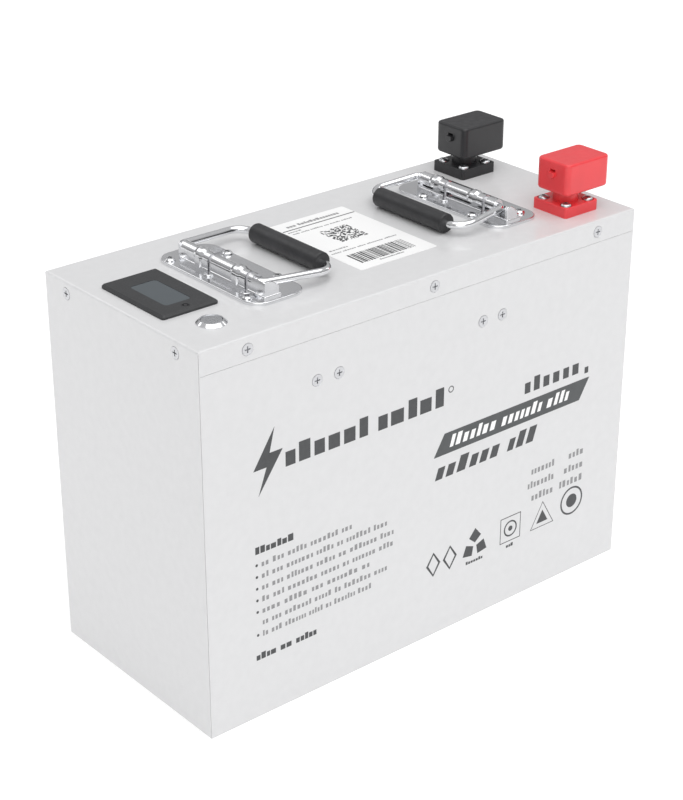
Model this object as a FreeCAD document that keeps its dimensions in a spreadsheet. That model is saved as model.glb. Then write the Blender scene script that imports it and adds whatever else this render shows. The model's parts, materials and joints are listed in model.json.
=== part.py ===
"""Metal-cased deep cycle battery with two folding handles, a meter and capped terminals.

Millimetres. +X runs along the length, the printed face looks along -Y and +Z is up.
The origin is the centre of the case's bottom face.
"""
import FreeCAD, Part
import math
import os
import re
import Sketcher

Vector = FreeCAD.Vector
Rotation = FreeCAD.Rotation

# Driving dimensions, one spreadsheet cell each.
SIZES = {
    # sheet-metal case
    "case_length": 362, "case_width": 160, "case_height": 264, "gauge": 1.5, "seam": 0.2,
    "mitre_gap": 0.1,
    "skirt": 15.7, "lid_fold_radius": 1.4, "lip_low": 236, "lip_high": 259,
    "skirt_screw_z": 255.8, "skirt_screw_x": 146, "end_screw_y": 57,
    # hold-down bars
    "bar_left_x": -85.75, "bar_right_x": 51.3, "bar_width": 30, "bar_screw_pitch": 17.2,
    "bar_screw_z": 220.3, "bar_low": 212, "bar_top": 230.3, "bar_gauge": 2, "screw_clear": 0.1,
    # screws
    "csk_head": 3.8, "csk_shank": 2, "csk_length": 8, "csk_lip": 0.3,
    "pan_head": 3.6, "pan_rise": 2.3, "pan_shank": 2, "pan_length": 7,
    "small_head": 3.7, "small_rise": 2.3, "small_shank": 1.5, "small_length": 14, "socket_radius": 1.45,
    "recess_length": 4.2, "recess_width": 0.8, "recess_depth": 1.3,
    # meter
    "meter_x": -149.7, "meter_y": 2, "meter_length": 65.4, "meter_width": 41, "meter_rise": 2.6,
    "meter_bevel": 1.2, "meter_body_length": 62, "meter_body_width": 35, "meter_depth": 9,
    "meter_wall": 1.2, "glass_length": 37.6, "glass_width": 19.1, "glass_y": 2.2, "glass_sink": 0.15,
    "key_y": -25, "key_radius": 2.1, "key_gap": 0.3,
    # push button
    "button_x": -149.9, "button_y": -50.9, "button_flange": 9.45, "button_face": 6.75,
    "button_rise": 2.2, "button_thread": 7.9, "button_depth": 16, "button_gap": 0.15,
    # handles
    "plate_length": 104, "plate_gauge": 2, "plate_corner": 12, "axis_rise": 10.1,
    "wall_gauge": 1.3, "curl_radius": 4.4, "bore_radius": 2.6, "spring_bore": 3.7,
    "bulge_radius": 5.3, "bulge_length": 3.6, "bulge_taper": 2.8, "bulge_offset": 11.4, "curl_near": -37,
    "curl_far": 35.4,
    "slot_width": 3, "step_rise": 5.2, "step_width": 13, "step_near": -51, "cap_near": -50.5,
    "cap_gauge": 2.2, "rod_radius": 2.5, "arm_root_y": 41.2, "arm_bend": 4,
    "grip_bend": 11.4, "grip_length": 67, "grip_radius": 6.5, "grip_rise": 6.9, "wire_radius": 0.5,
    "spring_inner": 2.65, "boss_radius": 3.4, "leg_radius": 0.9, "left_axis_x": -105.7, "right_axis_x": 94.6,
    # terminals
    "terminal_x": 145.7, "terminal_y": 49.4, "flange_side": 30.8, "flange_rise": 7.2, "neck_radius": 8.7,
    "neck_rise": 14.2, "plug_rise": 18, "cover_back": 14.4, "cover_front": 25.8,
    "cover_half_width": 14.5, "cover_top": 36.2, "cover_wall": 2.4, "cover_round": 4,
    "cover_top_round": 1.7, "cover_foot_round": 2.2,
    "plug_gap": 0.3, "flange_screw_pitch": 20.6, "stud_radius": 4, "inner_stud_radius": 3.8,
    "stud_top": 32, "stud_bottom": 22, "collar_radius": 8.5, "collar_rise": 2, "port_rise": 27.4,
    "port_radius": 2.7, "port_length": 2.2, "port_slot_width": 4.6, "port_slot_rise": 1.7,
    # cell pack
    "cell_pitch": 36.35, "cell_thick": 35.75, "cell_width": 130, "cell_height": 200.5, "pad_thick": 2.7,
    "post_y": 43, "post_radius": 9, "post_rise": 2, "post_stud": 3, "post_stud_rise": 11.5,
    "busbar_gauge": 2.5, "busbar_width": 20, "nut_height": 5, "end_plate_gauge": 3,
    "strap_width": 16, "strap_gauge": 0.8, "cover_sheet_gauge": 2, "cable_radius": 4.5,
}

doc = FreeCAD.newDocument("deep_cycle_battery")
sheet = doc.addObject("Spreadsheet::Sheet", "Sizes")
for row, (alias, number) in enumerate(SIZES.items(), start=1):
    sheet.set(f"A{row}", alias)
    sheet.set(f"B{row}", str(number))
    sheet.setAlias(f"B{row}", alias)
doc.recompute()

PARTS = {}          # node name -> the document object whose shape it is


# ---------------------------------------------------------------- document helpers

def expression(text):
    """Point each alias in a formula at its spreadsheet cell."""
    return re.sub(r"[a-z]+(?:_[a-z]+)*", lambda m: f"Sizes.{m[0]}" if m[0] in SIZES else m[0], str(text))


def value(text):
    """The number that a formula gives now."""
    return float(sheet.evalExpression(expression(text)))


def bind(obj, **formulas):
    for name, formula in formulas.items():
        obj.setExpression(name, expression(formula))
    return obj


def place(obj, x="0", y="0", z="0"):
    for axis, formula in zip("xyz", (x, y, z)):
        obj.setExpression(f"Placement.Base.{axis}", expression(formula))
    return obj


def keep(node, obj):
    """Name an object as a finished sub-part."""
    obj.Label = node
    PARTS[node] = obj
    return obj


def box(name, x, y, z):
    """A block between pairs of formulas along each axis."""
    solid = doc.addObject("Part::Box", name)
    bind(solid, Length=f"({x[1]}) - ({x[0]})", Width=f"({y[1]}) - ({y[0]})", Height=f"({z[1]}) - ({z[0]})")
    return place(solid, x[0], y[0], z[0])


TURNS = {"x": Rotation(Vector(0, 1, 0), 90), "y": Rotation(Vector(1, 0, 0), -90), "z": Rotation()}


def rod(name, axis, span, radius, x="0", y="0", z="0"):
    """A cylinder along an axis between two formulas; the other two coordinates place it."""
    solid = doc.addObject("Part::Cylinder", name)
    solid.Placement = FreeCAD.Placement(Vector(), TURNS[axis])
    bind(solid, Radius=radius, Height=f"({span[1]}) - ({span[0]})")
    start = {"x": x, "y": y, "z": z}
    start[axis] = span[0]
    return place(solid, **start)


def cone(name, axis, low_radius, high_radius, span, x="0", y="0", z="0"):
    solid = doc.addObject("Part::Cone", name)
    solid.Placement = FreeCAD.Placement(Vector(), TURNS[axis])
    bind(solid, Radius1=low_radius, Radius2=high_radius, Height=f"({span[1]}) - ({span[0]})")
    start = {"x": x, "y": y, "z": z}
    start[axis] = span[0]
    return place(solid, **start)


def fuse(name, solids):
    union = doc.addObject("Part::MultiFuse", name)
    union.Shapes = list(solids)
    union.Refine = True
    return union


def cut(name, base, tools):
    result = doc.addObject("Part::Cut", name)
    result.Base = base
    result.Tool = tools[0] if len(tools) == 1 else fuse(name + "_tools", tools)
    return result


def group(name, solids):
    compound = doc.addObject("Part::Compound", name)
    compound.Links = list(solids)
    return compound


def rounded(name, base, radius, chosen, kind="Part::Fillet"):
    """Round or bevel the edges of a solid for which chosen(edge) is true."""
    doc.recompute()
    result = doc.addObject(kind, name)
    result.Base = base
    size = value(radius)
    picked = [index for index, edge in enumerate(base.Shape.Edges, start=1) if chosen(edge)]
    result.Edges = [(index, size, size) for index in picked]
    return result


def upright(edge):
    """True for a straight edge along Z."""
    ends = edge.Vertexes
    return len(ends) == 2 and abs(ends[0].Z - ends[1].Z) > 1e-3 and math.hypot(
        ends[0].X - ends[1].X, ends[0].Y - ends[1].Y) < 1e-6


def at_height(level):
    """Chooses the edges that lie in the plane z = level."""
    height = value(level)
    return lambda edge: edge.BoundBox.ZMin > height - 1e-4 and edge.BoundBox.ZMax < height + 1e-4


def copies(name, master, spots):
    """Links of one master part; each spot is (x, y, z, rotation)."""
    links = []
    for index, (x, y, z, turn) in enumerate(spots, start=1):
        link = doc.addObject("App::Link", f"{name}_{index}")
        link.LinkedObject = master
        link.Placement = FreeCAD.Placement(Vector(), turn)
        links.append(place(link, x, y, z))
    return group(name, links)


# ---------------------------------------------------------------- PartDesign helpers

def new_body(name):
    return doc.addObject("PartDesign::Body", name)


def sketch_on(body, plane, offset="0"):
    sketch = body.newObject("Sketcher::SketchObject", body.Name + "_sketch")
    origin_plane = next(item for item in body.Origin.OriginFeatures if item.Role == plane)
    sketch.AttachmentSupport = [(origin_plane, "")]
    sketch.MapMode = "FlatFace"
    bind(sketch, **{"AttachmentOffset.Base.z": offset})
    return sketch


def pin_point(sketch, geometry, vertex, x, y):
    """Hold a sketch point at two formulas measured from the sketch's origin."""
    for kind, axis_line, formula in (("DistanceX", -2, x), ("DistanceY", -1, y)):
        size = value(formula)
        if abs(size) < 1e-9:
            sketch.addConstraint(Sketcher.Constraint("PointOnObject", geometry, vertex, axis_line))
        else:
            held = sketch.addConstraint(Sketcher.Constraint(kind, -1, 1, geometry, vertex, size))
            sketch.setExpression(f"Constraints[{held}]", expression(formula))


def outline(sketch, points):
    """A closed outline of straight lines through pairs of formulas."""
    first = sketch.GeometryCount
    corners = [Vector(value(x), value(y), 0) for x, y in points]
    count = len(corners)
    for index, corner in enumerate(corners):
        sketch.addGeometry(Part.LineSegment(corner, corners[(index + 1) % count]), False)
    for index, (x, y) in enumerate(points):
        following = first + (index + 1) % count
        sketch.addConstraint(Sketcher.Constraint("Coincident", first + index, 2, following, 1))
        pin_point(sketch, first + index, 1, x, y)
    return sketch


def circle(sketch, x, y, radius):
    spot = Vector(value(x), value(y), 0)
    index = sketch.addGeometry(Part.Circle(spot, Vector(0, 0, 1), value(radius)), False)
    held = sketch.addConstraint(Sketcher.Constraint("Radius", index, value(radius)))
    sketch.setExpression(f"Constraints[{held}]", expression(radius))
    pin_point(sketch, index, 3, x, y)
    return sketch


def pad(body, sketch, length):
    feature = body.newObject("PartDesign::Pad", body.Name + "_pad")
    feature.Profile = sketch
    return bind(feature, Length=length)


def pocket(body, sketch, depth, reverse=False):
    """Cut a sketch out of the body, and make sure that it did cut."""
    before = body.Tip.Shape.Volume if body.Tip else 0
    feature = body.newObject("PartDesign::Pocket", body.Name + "_pocket")
    feature.Profile = sketch
    feature.Reversed = reverse
    bind(feature, Length=depth)
    doc.recompute()
    if feature.Shape.Volume > before - 1e-6:
        raise RuntimeError(body.Name + ": a pocket removed nothing")
    return feature


def revolve(body, sketch):
    feature = body.newObject("PartDesign::Revolution", body.Name + "_turn")
    feature.Profile = sketch
    feature.ReferenceAxis = (sketch, ["V_Axis"])
    feature.Angle = 360
    return feature


def turned(name, points):
    """A body of revolution about Z; points are (radius, height) formulas."""
    body = new_body(name)
    revolve(body, outline(sketch_on(body, "XZ_Plane"), points))
    doc.recompute()
    return body


def dress(body, kind, size, chosen):
    """PartDesign fillet or chamfer on the chosen edges of the body's tip."""
    doc.recompute()
    tip = body.Tip
    names = [f"Edge{i}" for i, edge in enumerate(tip.Shape.Edges, start=1) if chosen(edge)]
    feature = body.newObject("PartDesign::" + kind, f"{body.Name}_{kind.lower()}")
    feature.Base = (tip, names)
    bind(feature, **{"Radius" if kind == "Fillet" else "Size": size})
    return feature


# ---------------------------------------------------------------- screws and nuts

def cross_recess(body, top, length, width, depth):
    """A cross-shaped driver recess sunk from the height top."""
    for along, across in ((length, width), (width, length)):
        sketch = sketch_on(body, "XY_Plane", top)
        a, b = f"({along}) / 2", f"({across}) / 2"
        outline(sketch, [(f"-{a}", f"-{b}"), (a, f"-{b}"), (a, b), (f"-{a}", b)])
        pocket(body, sketch, depth)


def countersunk_screw():
    """Head up along Z, with its flat top at z = 0."""
    under = "csk_lip + csk_head - csk_shank"
    body = turned("countersunk_screw", [
        ("0", "0"), ("csk_head", "0"), ("csk_head", "-csk_lip"), ("csk_shank", f"-({under})"),
        ("csk_shank", "-csk_length + 0.6"), ("csk_shank - 0.6", "-csk_length"), ("0", "-csk_length")])
    cross_recess(body, "0", "recess_length", "recess_width", "recess_depth")
    return body


def domed_screw(name, head, rise, shank, length, socket=None):
    """A pan head on z = 0 with a rounded crown, shank downwards, and a cross or hexagon recess."""
    body = turned(name, [
        ("0", rise), (f"{head} * 0.42", f"{rise} * 0.96"), (f"{head} * 0.74", f"{rise} * 0.8"),
        (f"{head} * 0.93", f"{rise} * 0.5"), (head, f"{rise} * 0.12"), (head, "0"), (shank, "0"),
        (shank, f"-{length}"), ("0", f"-{length}")])
    if socket:
        sketch = sketch_on(body, "XY_Plane", rise)
        outline(sketch, hexagon(socket))
        pocket(body, sketch, f"{rise} * 0.7")
    else:
        cross_recess(body, rise, f"{head} * 1.05", "recess_width", f"{rise} * 0.55")
    return body


def hexagon(radius):
    return [(f"{radius} * {math.cos(math.radians(60 * k)):.6f}",
             f"{radius} * {math.sin(math.radians(60 * k)):.6f}")
            for k in range(6)]


def hexagon_nut(name, across_corners, height, bore):
    """A flanged hexagon nut standing on z = 0."""
    body = new_body(name)
    sketch = sketch_on(body, "XY_Plane")
    outline(sketch, hexagon(across_corners))
    circle(sketch, "0", "0", bore)
    pad(body, sketch, height)
    dress(body, "Chamfer", "0.5", at_height(height))
    doc.recompute()
    return body


# ---------------------------------------------------------------- case

HALF_LENGTH = "case_length / 2"
HALF_WIDTH = "case_width / 2"
SPLIT = "(case_height - skirt)"
UP = Rotation()
INTO_FRONT = Rotation(Vector(1, 0, 0), 90)      # a screw whose head faces -Y
INTO_BACK = Rotation(Vector(1, 0, 0), -90)
INTO_LEFT = Rotation(Vector(0, 1, 0), -90)      # head faces -X
INTO_RIGHT = Rotation(Vector(0, 1, 0), 90)


def face_hole(name, side, x, z):
    """Countersunk clearance hole through the front (side = -1) or back (side = 1) panel."""
    deep = "csk_head - csk_shank + csk_lip"
    wide, slim = "csk_head + csk_lip + screw_clear", "csk_shank + screw_clear"
    if side < 0:
        sink = cone(name, "y", wide, slim, (f"-{HALF_WIDTH}", f"-{HALF_WIDTH} + {deep}"), x=x, z=z)
        bore = rod(name + "_bore", "y", (f"-{HALF_WIDTH}", f"-{HALF_WIDTH} + 12"), slim, x=x, z=z)
    else:
        sink = cone(name, "y", slim, wide, (f"{HALF_WIDTH} - ({deep})", HALF_WIDTH), x=x, z=z)
        bore = rod(name + "_bore", "y", (f"{HALF_WIDTH} - 12", HALF_WIDTH), slim, x=x, z=z)
    return [sink, bore]


def end_hole(name, side, y, z):
    """The same through an end wall."""
    deep = "csk_head - csk_shank + csk_lip"
    wide, slim = "csk_head + csk_lip + screw_clear", "csk_shank + screw_clear"
    if side < 0:
        sink = cone(name, "x", wide, slim, (f"-{HALF_LENGTH}", f"-{HALF_LENGTH} + {deep}"), y=y, z=z)
        bore = rod(name + "_bore", "x", (f"-{HALF_LENGTH}", f"-{HALF_LENGTH} + 12"), slim, y=y, z=z)
    else:
        sink = cone(name, "x", slim, wide, (f"{HALF_LENGTH} - ({deep})", HALF_LENGTH), y=y, z=z)
        bore = rod(name + "_bore", "x", (f"{HALF_LENGTH} - 12", HALF_LENGTH), slim, y=y, z=z)
    return [sink, bore]


SKIRT_X = ("-skirt_screw_x", "0", "skirt_screw_x")
BAR_X = [f"{bar} {sign} bar_screw_pitch / 2" for bar in ("bar_left_x", "bar_right_x") for sign in "-+"]


def mitre(name, right, back, keeps_wall, low, height):
    """Cutter that ends a sheet just short of the diagonal of one upright corner."""
    long, wide = f"{HALF_LENGTH}", f"{HALF_WIDTH}"
    if keeps_wall:
        points = [(f"{long} + 1", f"{wide} + 1 - mitre_gap"), (f"{long} - 3", f"{wide} - 3 - mitre_gap"),
                  (f"{long} - 3", f"{wide} + 1"), (f"{long} + 1", f"{wide} + 1")]
    else:
        points = [(f"{long} + 1 - mitre_gap", f"{wide} + 1"), (f"{long} - 3 - mitre_gap", f"{wide} - 3"),
                  (f"{long} + 1", f"{wide} - 3"), (f"{long} + 1", f"{wide} + 1")]
    body = new_body(name)
    sketch = sketch_on(body, "XY_Plane", low)
    outline(sketch, [(f"{right} * ({x})", f"{back} * ({y})") for x, y in points])
    pad(body, sketch, height)
    doc.recompute()
    return body


def make_case():
    """Bottom and end walls in one folded sheet; the end walls reach the lid's top sheet."""
    inner = f"{HALF_LENGTH} - gauge"
    inside = f"{HALF_WIDTH} - gauge"
    solids = [box("floor_sheet", (f"-({inner}) - gauge", HALF_LENGTH), (f"-({inside})", inside),
                  ("0", "gauge"))]
    cutters = []
    for side, tag in ((-1, "left"), (1, "right")):
        walls = (f"-{HALF_LENGTH}", f"-({inner})") if side < 0 else (inner, HALF_LENGTH)
        solids.append(box(f"{tag}_wall", walls, (f"-{HALF_WIDTH}", HALF_WIDTH),
                          ("0", "case_height - gauge - 0.05")))
        for index, y in enumerate(("-end_screw_y", "end_screw_y")):
            cutters += end_hole(f"{tag}_end_hole_{index}", side, y, "skirt_screw_z")
        for back in (-1, 1):
            cutters.append(mitre(f"{tag}_wall_mitre_{back + 1}", side, back, True, "-1", "case_height + 2"))
    keep("case_body", cut("case_body", fuse("case_shell", solids), cutters))


def make_panel(node, side):
    """Front or back panel mitred against the end walls, with its lid lip welded inside."""
    edge = HALF_LENGTH
    outer, inner = ((f"-{HALF_WIDTH}", f"-{HALF_WIDTH} + gauge"), (f"-{HALF_WIDTH} + gauge",
                    f"-{HALF_WIDTH} + 2 * gauge")) if side < 0 else ((f"{HALF_WIDTH} - gauge", HALF_WIDTH),
                    (f"{HALF_WIDTH} - 2 * gauge", f"{HALF_WIDTH} - gauge"))
    skin = box(node + "_skin", (f"-({edge})", edge), outer, ("0", f"{SPLIT} - seam"))
    lip = box(node + "_lip", ("-165", "165"), inner, ("lip_low", "lip_high"))
    cutters = []
    for index, x in enumerate(SKIRT_X):
        cutters += face_hole(f"{node}_lip_hole_{index}", side, x, "skirt_screw_z")
    for index, x in enumerate(BAR_X):
        cutters += face_hole(f"{node}_bar_hole_{index}", side, x, "bar_screw_z")
    for end in (-1, 1):
        cutters.append(mitre(f"{node}_mitre_{end + 1}", end, side, False, "-1", "case_height"))
    keep(node, cut(node, fuse(node + "_blank", [skin, lip]), cutters))


def lid_openings():
    """What is cut through the top of the lid."""
    top = ("case_height - 5", "case_height + 1")
    meter_x, meter_y = "(meter_body_width / 2 + seam)", "(meter_body_length / 2 + seam)"
    tools = [box("meter_opening", (f"meter_x - {meter_x}", f"meter_x + {meter_x}"),
                 (f"meter_y - {meter_y}", f"meter_y + {meter_y}"), top),
             rod("button_opening", "z", top, "button_thread + screw_clear", x="button_x", y="button_y")]
    for side, tag in ((-1, "positive"), (1, "negative")):
        y = f"{side} * terminal_y"
        tools.append(rod(f"{tag}_opening", "z", top, "stud_radius + 2", x="terminal_x", y=y))
        for k, (x, y) in enumerate(flange_screw_spots(side)):
            tools.append(rod(f"{tag}_tap_{k}", "z", top, "small_shank + screw_clear", x=x, y=y))
    for handle in HANDLES:
        for k, (x, y) in enumerate(handle.screw_spots()):
            tools.append(rod(f"{handle.tag}_tap_{k}", "z", top, "pan_shank + screw_clear", x=x, y=y))
    return tools


def make_lid():
    """Top sheet with folded front and back skirts, and tabs that stand inside the end walls."""
    outside = box("lid_block", (f"-{HALF_LENGTH}", HALF_LENGTH), (f"-{HALF_WIDTH}", HALF_WIDTH),
                  (SPLIT, "case_height"))
    soft = rounded("lid_folds", outside, "lid_fold_radius", at_height("case_height"))
    inner_x, inner_y = f"({HALF_LENGTH} - gauge)", f"({HALF_WIDTH} - gauge)"
    tools = [box("lid_hollow", (f"-{inner_x}", inner_x), (f"-{inner_y}", inner_y),
                 (f"{SPLIT} - 1", "case_height - gauge"))]
    tabs, holes = [], []
    for side, tag in ((-1, "left"), (1, "right")):
        span = (f"-{HALF_LENGTH} - 1", f"-{inner_x} + 1") if side < 0 else (f"{inner_x} - 1",
                                                                            f"{HALF_LENGTH} + 1")
        tools.append(box(f"lid_{tag}_room", span, (f"-{inner_y}", inner_y),
                         (f"{SPLIT} - 1", "case_height - gauge")))
        for back in (-1, 1):
            tools.append(mitre(f"lid_{tag}_mitre_{back + 1}", side, back, False, f"{SPLIT} - 1",
                               "skirt + 1 - gauge"))
        tab = (f"-{inner_x} + 0.1", f"-{inner_x} + 0.1 + gauge") if side < 0 else (
            f"{inner_x} - 0.1 - gauge", f"{inner_x} - 0.1")
        tabs.append(box(f"lid_{tag}_tab", tab, ("-68", "68"), ("lip_low", "case_height - gauge / 2")))
        for index, y in enumerate(("-end_screw_y", "end_screw_y")):
            holes += end_hole(f"lid_{tag}_hole_{index}", side, y, "skirt_screw_z")
    for side, tag in ((-1, "front"), (1, "back")):
        for index, x in enumerate(SKIRT_X):
            holes += face_hole(f"lid_{tag}_hole_{index}", side, x, "skirt_screw_z")
    blank = fuse("lid_blank", [cut("lid_shell", soft, tools), *tabs])
    keep("lid", cut("lid", blank, holes + lid_openings()))


def make_case_screws(screw):
    front, back = f"-{HALF_WIDTH}", HALF_WIDTH
    spots = []
    for x in SKIRT_X:
        spots += [(x, front, "skirt_screw_z", INTO_FRONT), (x, back, "skirt_screw_z", INTO_BACK)]
    for y in ("-end_screw_y", "end_screw_y"):
        spots += [(f"-{HALF_LENGTH}", y, "skirt_screw_z", INTO_LEFT),
                  (HALF_LENGTH, y, "skirt_screw_z", INTO_RIGHT)]
    keep("lid_screws", copies("lid_screws", screw, spots))
    keep("bar_screws_front", copies("bar_screws_front", screw,
                                    [(x, front, "bar_screw_z", INTO_FRONT) for x in BAR_X]))
    keep("bar_screws_back", copies("bar_screws_back", screw,
                                   [(x, back, "bar_screw_z", INTO_BACK) for x in BAR_X]))


def make_hold_down():
    """Two bars across the case above the cells, and the rubber pads they press on."""
    bars, pads = [], []
    inner = f"({HALF_WIDTH} - gauge)"
    for tag, centre in (("left", "bar_left_x"), ("right", "bar_right_x")):
        span = (f"{centre} - bar_width / 2", f"{centre} + bar_width / 2")
        top = box(f"{tag}_bar_top", span, (f"-{inner}", inner), ("bar_top - bar_gauge", "bar_top"))
        near = box(f"{tag}_bar_near", span, (f"-{inner}", f"-{inner} + bar_gauge"), ("bar_low", "bar_top"))
        far = box(f"{tag}_bar_far", span, (f"{inner} - bar_gauge", inner), ("bar_low", "bar_top"))
        taps = []
        for side in (-1, 1):
            for k in (-1, 1):
                taps += face_hole(f"{tag}_bar_tap_{side + 1}{k + 1}", side,
                                  f"{centre} + {k} * bar_screw_pitch / 2", "bar_screw_z")
        posts = [rod(f"{tag}_bar_post_{k}", "z", ("bar_top - 3", "bar_top + 1"), "1.6", x=centre,
                     y=f"{k} * 42")
                 for k in (-1, 1)]
        bars.append(cut(f"{tag}_bar", fuse(f"{tag}_bar_blank", [top, near, far]), taps + posts))
        for k in (-1, 1):
            pads.append(box(f"{tag}_pad_{k + 1}", (f"{centre} - 12", f"{centre} + 12"),
                            (f"{k} * 22 - 8", f"{k} * 22 + 8"), (SHEET_TOP, "bar_top - bar_gauge")))
    keep("hold_down_bars", group("hold_down_bars", bars))
    keep("hold_down_pads", group("hold_down_pads", pads))


# ---------------------------------------------------------------- handles

class Handle:
    """One folding handle; its bail folds flat along +X (fold = 1) or -X (fold = -1)."""

    def __init__(self, tag, fold, axis, edges, reach, arm_end, outer_screw, inner_screw, slots, wall_rise,
                 cap_width):
        self.tag, self.fold, self.axis = tag, fold, axis
        self.edges, self.reach, self.arm_end = edges, reach, arm_end
        self.outer_screw, self.inner_screw = outer_screw, inner_screw
        self.slots, self.wall_rise, self.cap_width = slots, wall_rise, cap_width

    def x(self, distance):
        """Formula for a distance from the pivot towards the folded bail."""
        return f"{self.axis} + {self.fold} * ({distance})"

    def span(self, first, second):
        pair = (self.x(first), self.x(second))
        return pair if self.fold > 0 else pair[::-1]

    def screw_spots(self):
        spots = []
        for distance, aside in (self.outer_screw, self.inner_screw):
            spots += [(self.x(distance), f"-{aside}"), (self.x(distance), aside)]
        return spots

    def make_hinge(self):
        tag, lid_top, axis_z = self.tag, "case_height", "case_height + axis_rise"
        half = "plate_length / 2"
        blank = box(f"{tag}_plate", self.span(*self.edges), (f"-{half}", half),
                    (lid_top, f"{lid_top} + plate_gauge"))
        plate = rounded(f"{tag}_plate_round", blank, "plate_corner", upright)
        plate = rounded(f"{tag}_plate_soft", plate, "0.6", at_height("case_height + plate_gauge"))
        left_edge = f"{self.axis} - curl_radius"
        step = box(f"{tag}_step", (f"{left_edge} - 0.5", f"{left_edge} - 0.5 + step_width"),
                   ("step_near", "curl_far + 0.4"), (lid_top, f"{lid_top} + step_rise"))
        step = rounded(f"{tag}_step_soft", step, "0.9",
                       lambda edge: upright(edge) or at_height("case_height + step_rise")(edge))
        wall = box(f"{tag}_wall", self.span("-curl_radius", "wall_gauge - curl_radius"),
                   ("cap_near", "curl_far + 1"), (lid_top, axis_z))
        side = box(f"{tag}_side", self.span("-curl_radius", "wall_gauge - curl_radius"),
                   ("cap_near", "curl_near"), (lid_top, f"{lid_top} + {self.wall_rise}"))
        curl = rod(f"{tag}_curl", "y", ("curl_near", "curl_far"), "curl_radius", x=self.axis, z=axis_z)
        bosses, bulges = [], []
        bores = [rod(f"{tag}_bore", "y", ("curl_near - 1", "curl_far + 3"), "bore_radius",
                     x=self.axis, z=axis_z)]
        cutters = []
        for k, slot in enumerate(self.slots):
            bulges.append(self.make_bulge(k, f"{slot} + bulge_offset"))
            boss = rod(f"{tag}_boss_{k}", "z", (f"{lid_top} + 1", f"{lid_top} + plate_gauge + 1.3"),
                       "boss_radius", x=f"{left_edge} - 0.6", y=slot)
            bosses.append(rounded(f"{tag}_boss_soft_{k}", boss, "0.6",
                                  at_height("case_height + plate_gauge + 1.3")))
            bores.append(rod(f"{tag}_spring_bore_{k}", "y",
                             (slot, f"{slot} + bulge_offset + bulge_length / 2 + 0.3"),
                             "spring_bore", x=self.axis, z=axis_z))
            cutters.append(box(f"{tag}_slot_{k}", (f"{left_edge} - 0.8", f"{self.axis} + 5.6"),
                               (f"{slot} - slot_width / 2", f"{slot} + slot_width / 2"),
                               (f"{lid_top} + plate_gauge + 1.3", f"{axis_z} + 6")))
        mouth = box(f"{tag}_mouth", self.span("1.2", "5.6"), ("curl_near - 1", "curl_far + 1"),
                    (f"{lid_top} + step_rise", f"{axis_z} - 1.6"))
        caps = [self.make_cap("cap", left_edge, "cap_near", "cap_near"),
                self.make_cap("far_cap", left_edge, "curl_far - 0.4", "curl_far + cap_gauge - 0.4")]
        solid = fuse(f"{tag}_hinge_blank", [plate, step, wall, side, curl, *bosses, *bulges, *caps])
        for k, (x, y) in enumerate(self.screw_spots()):
            cutters.append(rod(f"{tag}_head_room_{k}", "z", (f"{lid_top} + plate_gauge", f"{lid_top} + 6"),
                               "pan_head + 0.15", x=x, y=y))
            cutters.append(rod(f"{tag}_screw_hole_{k}", "z", (f"{lid_top} - 1", f"{lid_top} + 6"),
                               "pan_shank + screw_clear", x=x, y=y))
        keep(f"{tag}_hinge", cut(f"{tag}_hinge", solid, bores + cutters + [mouth]))

    def make_bulge(self, k, middle):
        """Pressed swelling over a spring: flared at both ends and carried down the wall as a pad."""
        tag, axis_z = self.tag, "case_height + axis_rise"
        near, far = f"{middle} - bulge_length / 2", f"{middle} + bulge_length / 2"
        crown = rod(f"{tag}_bulge_{k}", "y", (near, far), "bulge_radius", x=self.axis, z=axis_z)
        rise = cone(f"{tag}_flare_{k}", "y", "curl_radius - 0.05", "bulge_radius",
                    (f"{near} - bulge_taper", near), x=self.axis, z=axis_z)
        fall = cone(f"{tag}_taper_{k}", "y", "bulge_radius", "curl_radius - 0.05",
                    (far, f"{far} + bulge_taper"), x=self.axis, z=axis_z)
        block = box(f"{tag}_pad_{k}", self.span("-bulge_radius", "-3"),
                    (f"{near} - 1.4", f"{far} + 1.4"), ("case_height + step_rise - 1", axis_z))
        block = rounded(f"{tag}_pad_soft_{k}", block, "0.85", upright, "Part::Chamfer")
        return fuse(f"{tag}_swelling_{k}", [crown, rise, fall, block])

    def make_cap(self, name, left_edge, near, outer):
        """End cap whose top slopes down towards +X; its outer face has softened edges."""
        body = new_body(f"{self.tag}_{name}")
        sketch = sketch_on(body, "XZ_Plane", f"-({near}) - cap_gauge")
        base, x, wide = "case_height", left_edge, self.cap_width
        outline(sketch, [(x, base), (f"{x} + {wide}", base), (f"{x} + {wide}", f"{base} + 9.4"),
                         (f"{x} + 0.9 * {wide}", f"{base} + 10.9"),
                         (f"{x} + 0.56 * {wide}", f"{base} + 13.2"),
                         (f"{x} + 0.42 * {wide}", f"{base} + 13.8"), (f"{x} + 1", f"{base} + 13.8"),
                         (x, f"{base} + 12.8")])
        pad(body, sketch, "cap_gauge")
        dress(body, "Fillet", "0.6", lambda edge: abs(edge.CenterOfMass.y - value(outer)) < 1e-4
              and edge.CenterOfMass.z > value("case_height") + 4)
        doc.recompute()
        return body

    def bail_wire(self):
        """Centre line in the bail's own plane: u from the pivot, v along it; the ends meet in the bore."""
        root, end, reach = value("arm_root_y"), value(self.arm_end), value(self.reach)
        gap = 0.5
        corners = [Vector(0, gap, 0), Vector(0, root, 0), Vector(reach, end, 0),
                   Vector(reach, -end, 0), Vector(0, -root, 0), Vector(0, -gap, 0)]
        bends = [0, value("arm_bend"), value("grip_bend"), value("grip_bend"), value("arm_bend"), 0]
        return bent_wire(corners, bends)

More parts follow.
